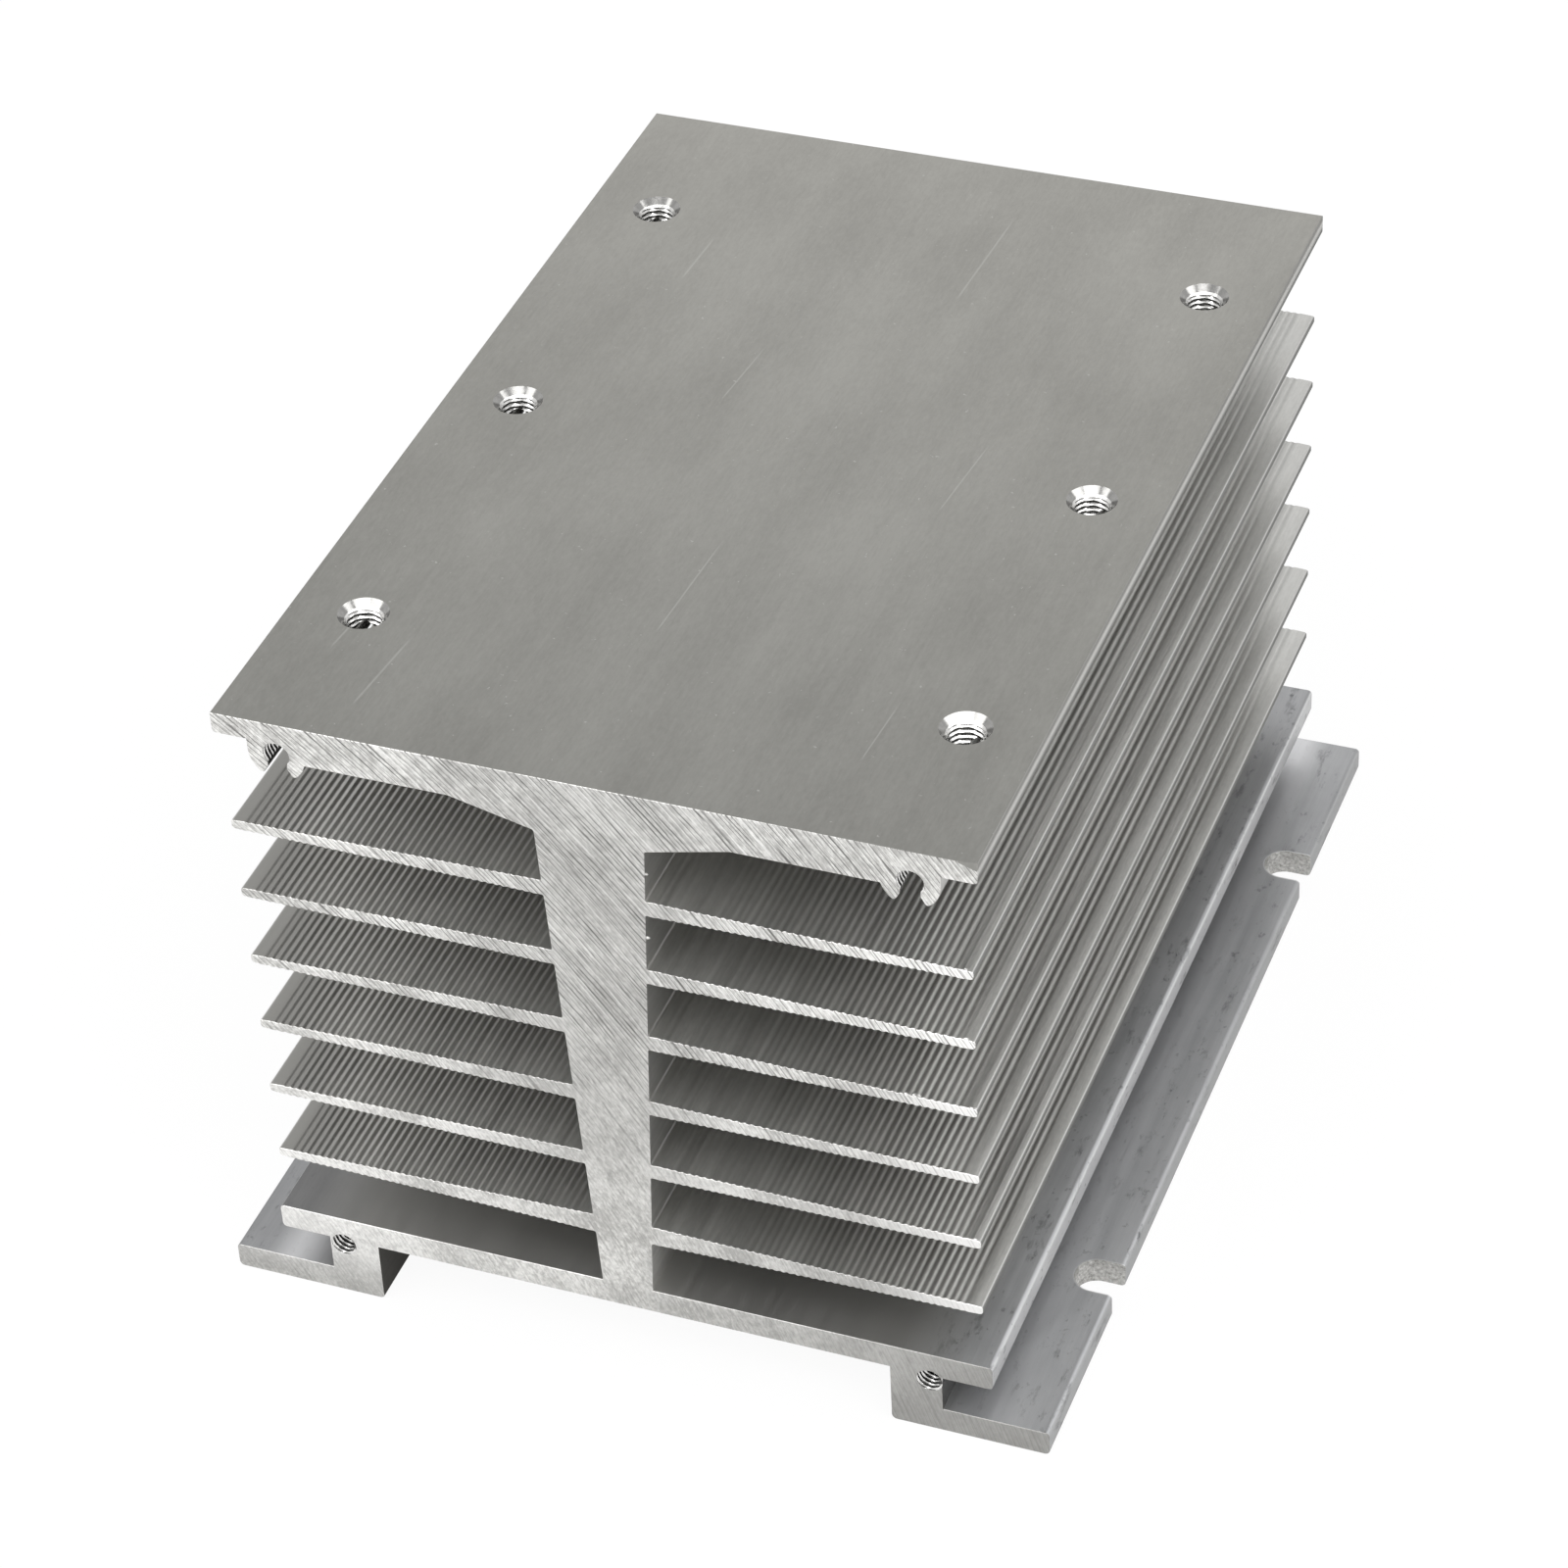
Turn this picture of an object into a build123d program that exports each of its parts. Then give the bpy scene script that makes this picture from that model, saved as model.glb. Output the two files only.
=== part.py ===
from build123d import *
import math
import os

# Extruded heat sink with a wide mounting plate, ribbed fins on both sides of a web, and two feet.
# One aluminium section, sawn to length, then drilled, tapped and slotted.
# Millimetres. X runs across the fins, Y along the extrusion, Z up.
# The origin is on the floor, under the middle of the part.

# Bar of the extrusion
length = 149.0
overall_height = 95.7

# Top plate, thick in the middle and thin at its two edges
plate_width = 99.5
plate_thickness = 5.6
plate_edge_thickness = 3.0
edge_radius = 0.6

# Web, which tapers from the plate down to the base, with a wedge on each side of its head
wedge_width = 36.8
web_top_width = 14.5
web_top_depth = 8.35
web_bottom_width = 7.0
web_corner_radius = 0.4

# Base plate and feet
base_width = 99.9
base_thickness = 3.75
base_depth = 82.6
foot_span = 114.9
foot_thickness = 3.8
foot_gap = 72.0
foot_block_width = 7.1
foot_corner_radius = 0.7

# Fins, thickest at the web, with their upper faces evenly spaced there
fin_count = 6
fin_pitch = 11.0
first_fin_depth = 16.2
fin_span = 97.8
fin_root_thickness = 2.2
last_fin_root_thickness = 2.9
fin_tip_thickness = 1.25
fin_tip_chamfer = 0.4

# Fine ribs along both faces of every fin
rib_pitch = 1.0
rib_height = 0.22
rib_clearance = 0.8
last_rib_groove = 46.5

# Screw channels under the plate, open downwards, on the hole pattern of a 92 mm fan
fan_hole_pitch = 82.5
channel_depth = 4.7
channel_radius = 1.75
channel_wall_radius = 3.85
throat_width = 2.6
throat_height = 1.9
flare_width = 5.2
flare_height = 4.2
lip_radius = 0.4

# Tapped holes for the fan screws, in both sawn ends
end_thread_radius = 2.0
end_thread_depth = 12.0

# Tapped and countersunk holes for modules, three rows of two in the plate
module_hole_spacing = 80.0
module_row_pitch = 50.0
module_rows = 3
module_thread_radius = 2.5
countersink_radius = 3.2
module_hole_depth = 9.5

# Open slots in the outer edges of the feet
slot_width = 6.0
slot_reach = 6.05
slot_pitch = 90.0

# Levels above the floor
plate_underside = overall_height - plate_thickness
plate_edge_underside = overall_height - plate_edge_thickness
base_top = overall_height - base_depth
base_underside = base_top - base_thickness
channel_level = overall_height - channel_depth
lower_bore_level = channel_level - fan_hole_pitch
bore_offset = fan_hole_pitch / 2
web_head_level = overall_height - web_top_depth


def web_half_width(level):
    """Half the web's width at a level, from its straight taper."""
    share = (level - base_top) / (web_head_level - base_top)
    return (web_bottom_width + share * (web_top_width - web_bottom_width)) / 2


def symmetric_face(right_points):
    """Face of an outline given by its right half, from top to bottom."""
    left_points = [(-x, z) for x, z in reversed(right_points)]
    return make_face(Polyline(*right_points, *left_points, close=True))


def corners_at(face, x, z):
    """The corners of a section that lie at (x, z) and (-x, z)."""
    tolerance = 0.01
    level_with_z = [v for v in face.vertices() if abs(v.Y - z) < tolerance]
    return [v for v in level_with_z if abs(abs(v.X) - x) < tolerance]


def top_plate():
    half = plate_width / 2
    plate = symmetric_face([
        (half, overall_height),
        (half, plate_edge_underside),
        (bore_offset, plate_edge_underside),
        (bore_offset, plate_underside),
    ])
    upper = corners_at(plate, half, overall_height)
    lower = corners_at(plate, half, plate_edge_underside)
    return fillet(upper + lower, edge_radius)


def web():
    outline = symmetric_face([
        (wedge_width / 2, plate_underside),
        (web_top_width / 2, web_head_level),
        (web_bottom_width / 2, base_top),
    ])
    return fillet(corners_at(outline, web_top_width / 2, web_head_level), web_corner_radius)


def base_plate():
    half = base_width / 2
    plate = symmetric_face([(half, base_top), (half, base_underside)])
    edges = corners_at(plate, half, base_top) + corners_at(plate, half, base_underside)
    return fillet(edges, edge_radius)


def foot():
    """Right foot: an upright block, and a plate that reaches outwards from its lower end."""
    inner = foot_gap / 2
    groove_wall = inner + foot_block_width
    outer = foot_span / 2
    outline = make_face(Polyline(
        (inner, base_underside),
        (inner, 0),
        (outer, 0),
        (outer, foot_thickness),
        (groove_wall, foot_thickness),
        (groove_wall, base_underside),
        close=True,
    ))
    lower = corners_at(outline, inner, 0) + corners_at(outline, outer, 0)
    outline = fillet(lower, foot_corner_radius)
    return fillet(corners_at(outline, outer, foot_thickness), edge_radius)


def rib_line(level, root_thickness):
    """Upper face of a fin from the web to its plain band, as (x, height over the fin's middle)."""
    root = web_half_width(level)
    band = last_rib_groove + rib_pitch / 2
    first_groove = math.ceil(root + rib_clearance) + rib_pitch / 2
    grooves = round((last_rib_groove - first_groove) / rib_pitch) + 1

    def mean_height(x):
        share = (x - root) / (band - root)
        return (root_thickness + share * (fin_tip_thickness - root_thickness)) / 2

    start = first_groove - rib_pitch
    line = [(0, root_thickness / 2), (start, mean_height(start))]
    for i in range(grooves):
        groove = first_groove + i * rib_pitch
        crest = groove - rib_pitch / 2
        line.append((crest, mean_height(crest) + rib_height / 2))
        line.append((groove, mean_height(groove) - rib_height / 2))
    line.append((band, fin_tip_thickness / 2))
    return line


def fin(index):
    """Right fin number index, counted from the plate, with its root inside the web."""
    is_last = index == fin_count - 1
    root_thickness = last_fin_root_thickness if is_last else fin_root_thickness
    upper_face = overall_height - first_fin_depth - index * fin_pitch
    level = upper_face - root_thickness / 2
    tip = (fin_span / 2, fin_tip_thickness / 2)
    line = rib_line(level, root_thickness) + [tip]
    above = [(x, level + height) for x, height in line]
    below = [(x, level - height) for x, height in line]
    outline = make_face(Polyline(*above, *reversed(below), close=True))
    return chamfer(outline.vertices().group_by(Axis.X)[-1], fin_tip_chamfer)


def screw_channel_wall():
    """Right channel's wall, hanging from the plate, with its throat cut and its lips rounded."""
    wall = Pos(bore_offset, channel_level) * Circle(channel_wall_radius)
    rise = plate_edge_underside - channel_level
    shoulder = Rectangle(channel_wall_radius, rise, align=(Align.MIN, Align.MIN))
    wall += Pos(bore_offset, channel_level) * shoulder
    opening = Pos(bore_offset, channel_level) * make_face(Polyline(
        (throat_width / 2, 0),
        (throat_width / 2, -throat_height),
        (flare_width / 2, -flare_height),
        (-flare_width / 2, -flare_height),
        (-throat_width / 2, -throat_height),
        (-throat_width / 2, 0),
        close=True,
    ))
    wall -= opening
    lowest_first = wall.vertices().sort_by(Axis.Y)
    return fillet(lowest_first[:2], lip_radius)


def both_sides(face):
    """A face of the right half together with its mirror image."""
    return face + mirror(face, Plane.YZ)


def section():
    """The whole cross-section, in X and Z."""
    shape = top_plate() + web() + base_plate()
    shape += both_sides(foot())
    shape += both_sides(screw_channel_wall())
    for index in range(fin_count):
        shape += both_sides(fin(index))
    for side in (-1, 1):
        shape -= Pos(side * bore_offset, channel_level) * Circle(channel_radius)
    return shape


def module_hole():
    """Cutter for one tapped hole down through the plate, with its countersink."""
    bore = Pos(0, 0, -module_hole_depth / 2) * Cylinder(module_thread_radius, module_hole_depth)
    sink_depth = countersink_radius - module_thread_radius
    sink = Pos(0, 0, -sink_depth / 2) * Cone(module_thread_radius, countersink_radius, sink_depth)
    return Pos(0, 0, overall_height) * (bore + sink)


def end_hole():
    """Cutter for one tapped hole in the end at +Y."""
    bore = Rot(90, 0, 0) * Cylinder(end_thread_radius, end_thread_depth)
    return Pos(0, (length - end_thread_depth) / 2, 0) * bore


def foot_slot():
    """Cutter for one slot in the right foot, open at the foot's outer edge."""
    radius = slot_width / 2
    centre = foot_span / 2 - slot_reach + radius
    cut_height = 2 * foot_thickness
    round_end = Pos(centre, 0, 0) * Cylinder(radius, cut_height)
    mouth = Pos(centre + slot_reach / 2, 0, 0) * Box(slot_reach, slot_width, cut_height)
    return Pos(0, 0, foot_thickness / 2) * (round_end + mouth)


def heat_sink():
    sawn_end = Plane.XZ.offset(-length / 2)
    body = extrude(sawn_end * section(), amount=length)
    module_places = GridLocations(module_hole_spacing, module_row_pitch, 2, module_rows)
    cutters = [place * module_hole() for place in module_places]
    end_places = GridLocations(fan_hole_pitch, fan_hole_pitch, 2, 2)
    screw_square = Pos(0, 0, (channel_level + lower_bore_level) / 2) * Rot(90, 0, 0)
    for turn in (0, 180):
        end = Rot(0, 0, turn)
        for place in end_places:
            corner = (screw_square * place).position
            cutters.append(end * Pos(corner) * end_hole())
        for shift in (-slot_pitch / 2, slot_pitch / 2):
            cutters.append(end * Pos(0, shift, 0) * foot_slot())
    return body - cutters


os.makedirs("parts", exist_ok=True)
export_step(heat_sink(), "parts/heat_sink.step")
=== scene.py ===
# %% [markdown]
# # A sawn and tapped aluminium heat sink
# The real part is one bar of extruded aluminium. It was pressed through a die, sawn to length,
# drilled and tapped. This lesson builds its visible surface in the same order, around the solid
# model, which gives the place and the outer size of everything.

# %% Load the solid model
import math

import bmesh
import bpy
from mathutils import Matrix, Vector, noise


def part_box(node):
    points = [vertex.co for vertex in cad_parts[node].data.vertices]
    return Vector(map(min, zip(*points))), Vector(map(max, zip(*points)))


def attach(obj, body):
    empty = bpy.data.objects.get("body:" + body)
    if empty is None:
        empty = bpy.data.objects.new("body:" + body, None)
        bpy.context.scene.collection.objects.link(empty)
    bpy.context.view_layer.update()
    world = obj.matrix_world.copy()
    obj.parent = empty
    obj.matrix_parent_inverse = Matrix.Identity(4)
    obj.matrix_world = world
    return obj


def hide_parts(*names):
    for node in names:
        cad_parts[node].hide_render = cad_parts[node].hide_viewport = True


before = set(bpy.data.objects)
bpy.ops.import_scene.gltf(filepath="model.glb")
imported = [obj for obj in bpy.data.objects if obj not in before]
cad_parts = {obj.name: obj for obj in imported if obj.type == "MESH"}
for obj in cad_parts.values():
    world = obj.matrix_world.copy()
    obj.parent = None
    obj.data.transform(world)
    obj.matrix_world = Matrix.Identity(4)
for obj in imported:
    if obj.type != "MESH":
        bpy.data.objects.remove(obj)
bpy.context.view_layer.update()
mm = 0.001

low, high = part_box("heat_sink")
length = high.y - low.y
overall_height = high.z
foot_span = high.x - low.x
print(f"bar {length / mm:.1f} long, {foot_span / mm:.1f} wide, {overall_height / mm:.1f} high")

# %% [markdown]
# ## Sizes of the section
# A die has one outline, so one list of sizes describes the whole bar. They are written in
# millimetres times `mm`, because Blender works in metres here. Levels are heights above the floor.

# %% Sizes of the section
plate_width = 99.5 * mm
plate_thickness = 5.6 * mm
plate_edge_thickness = 3.0 * mm
edge_radius = 0.6 * mm
plate_corner_radius = 0.12 * mm

wedge_width = 36.8 * mm
web_top_width = 14.5 * mm
web_head_level = overall_height - 8.35 * mm
web_bottom_width = 7.0 * mm
web_corner_radius = 0.4 * mm

base_width = 99.9 * mm
base_top = overall_height - 82.6 * mm
base_underside = base_top - 3.75 * mm
foot_thickness = 3.8 * mm
foot_gap = 72.0 * mm
groove_wall = foot_gap / 2 + 7.1 * mm
foot_corner_radius = 0.7 * mm

fin_count = 6
fin_pitch = 11.0 * mm
first_fin_face = overall_height - 16.2 * mm
fin_reach = 97.8 * mm / 2
fin_root_thickness = 2.2 * mm
last_fin_root_thickness = 2.9 * mm
fin_tip_thickness = 1.25 * mm
fin_tip_radius = 0.5 * mm
fin_tip_upper_radius = 0.3 * mm
fin_root_radius = 0.3 * mm

rib_pitch = 1.0 * mm
rib_height = 0.22 * mm
rib_clearance = 0.8 * mm
last_rib_groove = 46.5 * mm

fan_hole_pitch = 82.5 * mm
bore_offset = fan_hole_pitch / 2
channel_level = overall_height - 4.7 * mm
channel_radius = 1.75 * mm
channel_wall_radius = 3.85 * mm
throat_half = 1.3 * mm
throat_height = 1.9 * mm
lip_half = 2.06 * mm
lip_drop = 3.25 * mm
lip_radius = 0.4 * mm

plate_underside = overall_height - plate_thickness
plate_edge_underside = overall_height - plate_edge_thickness


def web_half_width(level):
    """Half the web's width at a level, from its straight taper."""
    share = (level - base_top) / (web_head_level - base_top)
    return (web_bottom_width + share * (web_top_width - web_bottom_width)) / 2


head_width, heel_width = 2 * web_half_width(web_head_level), 2 * web_half_width(base_top)
print(f"web {head_width / mm:.1f} at its head, {heel_width / mm:.1f} at its foot")

# %% [markdown]
# ## Arcs and rounded corners
# An outline is a list of points. Two helpers cover every curve in it: one samples an arc, and
# one replaces a corner by a small arc that touches both of its sides. A corner is written as
# (x, z, radius), and a radius of nothing keeps it sharp.

# %% Arcs and rounded corners
arc_step = math.radians(15)


def arc(centre_x, centre_z, radius, start, end):
    """Points of an arc from one angle to another, as corners with no radius."""
    steps = max(2, math.ceil(abs(end - start) / arc_step))
    angles = [start + (end - start) * i / steps for i in range(steps + 1)]
    return [(centre_x + radius * math.cos(a), centre_z + radius * math.sin(a), 0) for a in angles]


def rounded(corners):
    """Points of an open outline, with an arc in place of each corner that has a radius."""
    points = []
    for i, (x, z, radius) in enumerate(corners):
        corner = Vector((x, z))
        if not radius:
            points.append(corner)
            continue
        before = (Vector(corners[i - 1][:2]) - corner).normalized()
        after = (Vector(corners[i + 1][:2]) - corner).normalized()
        half_angle = before.angle(after) / 2
        centre = corner + (before + after).normalized() * radius / math.sin(half_angle)
        first = corner + before * radius / math.tan(half_angle) - centre
        sweep = first.angle_signed(corner + after * radius / math.tan(half_angle) - centre)
        steps = max(2, math.ceil(abs(sweep) / arc_step))
        for k in range(steps + 1):
            turn = -sweep * k / steps
            cos, sin = math.cos(turn), math.sin(turn)
            points.append(centre + Vector((first.x * cos - first.y * sin, first.x * sin + first.y * cos)))
    return points


print("a quarter corner has", len(rounded([(0, 0, 0), (1, 0, 0.2), (1, 1, 0)])) - 2, "points")

# %% [markdown]
# ## One ribbed fin
# The fin is thickest at the web, and a comb of fine ribs runs along both of its faces. Ribs
# drawn by a die have broad round crests and narrow grooves. A cosine from 0 to 1, raised to a
# power, gives that: the power narrows the grooves. They lie midway between whole millimetres
# from the middle of the bar, and are shallower at both ends of the comb. The outermost band is
# plain, its tip is rounded, and a small fillet joins the fin to the web.

# %% One ribbed fin
points_per_rib = 8
groove_narrowness = 1.1
groove_extra = 0.75
fade_length = 4.0 * mm
end_share = 0.55


def fin_corners(index):
    """Corners of a right fin, out along its upper face and back along its lower one."""
    is_last = index == fin_count - 1
    root_thickness = last_fin_root_thickness if is_last else fin_root_thickness
    level = first_fin_face - index * fin_pitch - root_thickness / 2
    root = web_half_width(level)
    band = last_rib_groove + rib_pitch / 2
    first_rib = math.ceil((root + rib_clearance) / rib_pitch) * rib_pitch
    samples = round((band - first_rib) / rib_pitch * points_per_rib)

    def mean_height(x):
        share = (x - root) / (band - root)
        return (root_thickness + share * (fin_tip_thickness - root_thickness)) / 2

    def groove_depth(x):
        to_end = min(x - first_rib, band - x)
        share = end_share + (1 - end_share) * min(1, to_end / fade_length)
        wave = (1 - math.cos(2 * math.pi * x / rib_pitch)) / 2
        return share * groove_extra * rib_height * wave ** groove_narrowness

    face = []
    for i in range(samples + 1):
        x = first_rib + (band - first_rib) * i / samples
        face.append((x, mean_height(x) + rib_height / 2 - groove_depth(x)))
    half_root = root_thickness / 2
    half_tip = fin_tip_thickness / 2
    upper = [(web_half_width(level + half_root), level + half_root, fin_root_radius)]
    upper += [(x, level + h, 0) for x, h in face]
    upper.append((fin_reach, level + half_tip, fin_tip_upper_radius))
    lower = [(fin_reach, level - half_tip, fin_tip_radius)]
    lower += [(x, level - h, 0) for x, h in reversed(face)]
    lower.append((web_half_width(level - half_root), level - half_root, fin_root_radius))
    return upper + lower


print("a fin has", len(fin_corners(0)), "corners")

# %% [markdown]
# ## The whole section
# The right half is walked from the middle of the top plate, round the screw channel, down the
# web and its fins, out over the base and the foot, and back to the middle. Its mirror image
# closes the loop. The channel is open at its throat, so even its bore is part of this one loop.
# Each lip sits where the flare of the throat comes out through the channel's round wall.

# %% The whole section
def channel_corners():
    """The screw channel from its outer shoulder round the bore to the plate's underside."""
    line = [(bore_offset + channel_wall_radius, plate_edge_underside, 0)]
    lip_angle = math.atan2(-lip_drop, lip_half)
    throat_drop = math.sqrt(channel_radius ** 2 - throat_half ** 2)
    bore_start = math.atan2(-throat_drop, throat_half)
    line += arc(bore_offset, channel_level, channel_wall_radius, 0, lip_angle)[:-1]
    lip = (channel_wall_radius * math.cos(lip_angle), channel_wall_radius * math.sin(lip_angle))
    line.append((bore_offset + lip[0], channel_level + lip[1], lip_radius))
    line.append((bore_offset + throat_half, channel_level - throat_height, 0))
    line += arc(bore_offset, channel_level, channel_radius, bore_start, math.pi - bore_start)
    line.append((bore_offset - throat_half, channel_level - throat_height, 0))
    line.append((bore_offset - lip[0], channel_level + lip[1], lip_radius))
    drop = plate_underside - channel_level
    inner_angle = -math.pi - math.asin(drop / channel_wall_radius)
    line += arc(bore_offset, channel_level, channel_wall_radius, -math.pi - lip_angle, inner_angle)[1:]
    return line


def right_half():
    """Points of the section's right half, from the top's middle to the base's underside."""
    corners = [
        (0, overall_height, 0),
        (plate_width / 2, overall_height, plate_corner_radius),
        (plate_width / 2, plate_edge_underside, edge_radius),
    ]
    corners += channel_corners()
    corners.append((wedge_width / 2, plate_underside, 0))
    corners.append((web_top_width / 2, web_head_level, web_corner_radius))
    for index in range(fin_count):
        corners += fin_corners(index)
    corners += [
        (web_bottom_width / 2, base_top, 0),
        (base_width / 2, base_top, edge_radius),
        (base_width / 2, base_underside, edge_radius),
        (groove_wall, base_underside, 0),
        (groove_wall, foot_thickness, 0),
        (foot_span / 2, foot_thickness, edge_radius),
        (foot_span / 2, 0, foot_corner_radius),
        (foot_gap / 2, 0, foot_corner_radius),
        (foot_gap / 2, base_underside, 0),
        (0, base_underside, 0),
    ]
    return rounded(corners)


half = right_half()
outline = half + [Vector((-p.x, p.y)) for p in reversed(half[1:-1])]
print("the section has", len(outline), "points")

# %% [markdown]
# ## Press the bar and saw it off
# Rings of the outline are set along the bar and joined by strips. The saw leaves a fine burr
# that is knocked off, so each end has a second ring a little way in, where the outline is
# full size, and the end ring is drawn in by the same amount. That sliver of a bevel is what
# catches the light along a sawn edge.

# %% Press the bar and saw it off
sawn_bevel = 0.07 * mm


def inward_normals(points):
    """Unit normals of a closed loop, pointing into the metal."""
    normals = []
    for i, point in enumerate(points):
        along = (points[(i + 1) % len(points)] - points[i - 1]).normalized()
        normals.append(Vector((along.y, -along.x)))
    return normals


def pressed_bar(points):
    """A closed mesh of the loop pressed along Y, with its ends bevelled."""
    drawn_in = [p + n * sawn_bevel for p, n in zip(points, inward_normals(points))]
    stations = [
        (-length / 2, drawn_in),
        (-length / 2 + sawn_bevel, points),
        (length / 2 - sawn_bevel, points),
        (length / 2, drawn_in),
    ]
    bm = bmesh.new()
    rings = [[bm.verts.new((p.x, y, p.y)) for p in loop] for y, loop in stations]
    count = len(points)
    for near, far in zip(rings, rings[1:]):
        for i in range(count):
            j = (i + 1) % count
            bm.faces.new((near[i], near[j], far[j], far[i]))
    bm.faces.new(rings[0])
    bm.faces.new(list(reversed(rings[-1])))
    bmesh.ops.recalc_face_normals(bm, faces=bm.faces)
    mesh = bpy.data.meshes.new("heat_sink_body")
    bm.to_mesh(mesh)
    bm.free()
    return mesh


bar = bpy.data.objects.new("heat_sink_body", pressed_bar(outline))
bpy.context.scene.collection.objects.link(bar)
print("the bar has", len(bar.data.polygons), "faces")

# %% [markdown]
# ## Taps and drills
# A tapped hole is cut by a rod with the thread on it. The rod's radius goes up and down once
# in each pitch, and the place of its ridge turns with the angle, which makes the helix. Between
# the ridges the rod is plain for a while: that leaves the flat crests of a tapped thread, which
# look dark. The same function makes the countersink and the drill's point, because both are
# only a radius that changes with depth.

# %% Taps and drills
rod_sides = 32
rows_per_pitch = 8
crest_share = 0.4
above_mouth = 0.5 * mm
drill_point_slope = math.tan(math.radians(118 / 2))


def thread_radius(depth, turn, pitch, minor, major):
    """Radius of a thread at a depth and at a share of a turn, with flat crests."""
    phase = (depth / pitch + turn) % 1
    ridge = abs(2 * phase - 1)
    return minor + (major - minor) * max(0, ridge - crest_share) / (1 - crest_share)


def close_tube(bm, rings):
    """Adds the strips between rings of points, and a cap at each end."""
    count = len(rings[0])
    for upper, lower in zip(rings, rings[1:]):
        for i in range(count):
            j = (i + 1) % count
            bm.faces.new((upper[i], lower[i], lower[j], upper[j]))
    bm.faces.new(rings[0])
    bm.faces.new(list(reversed(rings[-1])))


def threaded_rod(bm, place, depth, pitch, radius_at):
    """Adds a closed rod that points down its own -Z from a little above its mouth."""
    rows = math.ceil(depth / (pitch / rows_per_pitch))
    levels = [above_mouth] + [-depth * i / rows for i in range(rows + 1)]
    rings = []
    for level in levels:
        ring = []
        for i in range(rod_sides):
            turn = i / rod_sides
            radius = radius_at(-level, turn)
            angle = 2 * math.pi * turn
            point = Vector((radius * math.cos(angle), radius * math.sin(angle), level))
            ring.append(bm.verts.new(place @ point))
        rings.append(ring)
    close_tube(bm, rings)


print("a rod has", rod_sides, "sides and", rows_per_pitch, "rows in a pitch")

# %% [markdown]
# ## Sizes of the holes
# The plate takes six M5 holes with countersinks, and each sawn end takes four M4 holes that end
# in the drill's point. A function of depth and turn gives the radius of each kind. The first
# turn of an end hole is a little shallower than the rest.

# %% Sizes of the holes
module_spacing = 80.0 * mm
module_row_pitch = 50.0 * mm
module_depth = 9.5 * mm
module_pitch = 0.8 * mm
module_minor = 2.25 * mm
module_major = 2.55 * mm
countersink_radius = 3.35 * mm

end_depth = 12.0 * mm
end_pitch = 0.7 * mm
end_minor = 1.65 * mm
end_major = 2.0 * mm
lead_in = 0.5 * mm
thinnest = 0.05 * mm


def module_radius(depth, turn):
    """Radius of a plate hole, with its countersink."""
    thread = thread_radius(max(depth, 0), turn, module_pitch, module_minor, module_major)
    return max(thread, countersink_radius - depth)


def end_radius(depth, turn):
    """Radius of an end hole, down to its point."""
    thread = thread_radius(max(depth, 0), turn, end_pitch, end_minor, end_major)
    if depth < lead_in:
        thread = min(thread, end_major + lead_in / 2 - depth)
    point = (end_depth - depth) * drill_point_slope
    return max(thinnest, min(thread, point))


print(f"plate holes {2 * module_major / mm:.1f} wide, end holes {2 * end_major / mm:.1f} wide")

# %% [markdown]
# ## A slot in a foot
# The feet take four open slots with round ends. A slot's cutter is a prism: half a circle at its
# inner end, and two straight sides that run out past the edge of the foot.

# %% A slot in a foot
slot_radius = 3.0 * mm
slot_reach = 6.05 * mm
slot_pitch = 90.0 * mm
slot_steps = 24
clear = 1 * mm


def slot_prism(bm, side, y):
    """Adds a prism for one open slot of the left or right foot."""
    centre = foot_span / 2 - slot_reach + slot_radius
    mouth = foot_span / 2 + clear
    loop = [(mouth, slot_radius)]
    for i in range(slot_steps + 1):
        angle = math.pi / 2 + math.pi * i / slot_steps
        loop.append((centre + slot_radius * math.cos(angle), slot_radius * math.sin(angle)))
    loop.append((mouth, -slot_radius))
    rings = []
    for z in (-clear, foot_thickness + clear):
        rings.append([bm.verts.new((side * px, y + py, z)) for px, py in loop])
    close_tube(bm, rings)


print(f"slots {2 * slot_radius / mm:.1f} wide and {slot_reach / mm:.2f} deep")

# %% [markdown]
# ## A worn corner and torn burrs
# The corner of the plate at the front right has been knocked off. One flat cut does that: a block
# is turned until a face of it passes through a point on each of the corner's three edges. The
# saw has torn small burrs out of some fin tips and out of the web. Each is a lump whose surface
# a noise makes rough, stretched along the edge. It reaches no further out than the sawn face, so
# the bar stays as long as it is.

# %% A worn corner and torn burrs
burr_stretch = 2.4
burr_sink = 0.35
burr_grain = 1.7


def corner_chip(bm, corner, along_front, down, along_side):
    """Adds a block whose one face slices the corner off, through a point on each edge of it."""
    steps = Vector((-along_front, 0, 0)), Vector((0, 0, -down)), Vector((0, along_side, 0))
    points = [corner + step for step in steps]
    outward = (points[1] - points[0]).cross(points[2] - points[0]).normalized()
    if outward.z < 0:
        outward.negate()
    block = 8 * mm
    middle = sum(points, Vector()) / 3 + outward * block / 2
    turn = outward.to_track_quat("Z", "X").to_matrix().to_4x4()
    bmesh.ops.create_cube(bm, size=block, matrix=Matrix.Translation(middle) @ turn)


def burr(bm, x, z, size):
    """Adds a torn lump of metal on the front edge, at most as far out as the sawn face."""
    centre = Vector((x, size - length / 2, z - size * burr_sink))
    lump = bmesh.ops.create_icosphere(bm, subdivisions=2, radius=size)["verts"]
    for vert in lump:
        rough = 0.75 + 0.25 * noise.noise(vert.co / size * burr_grain + centre / mm)
        vert.co = Vector((vert.co.x * burr_stretch, vert.co.y, vert.co.z)) * rough + centre


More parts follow.
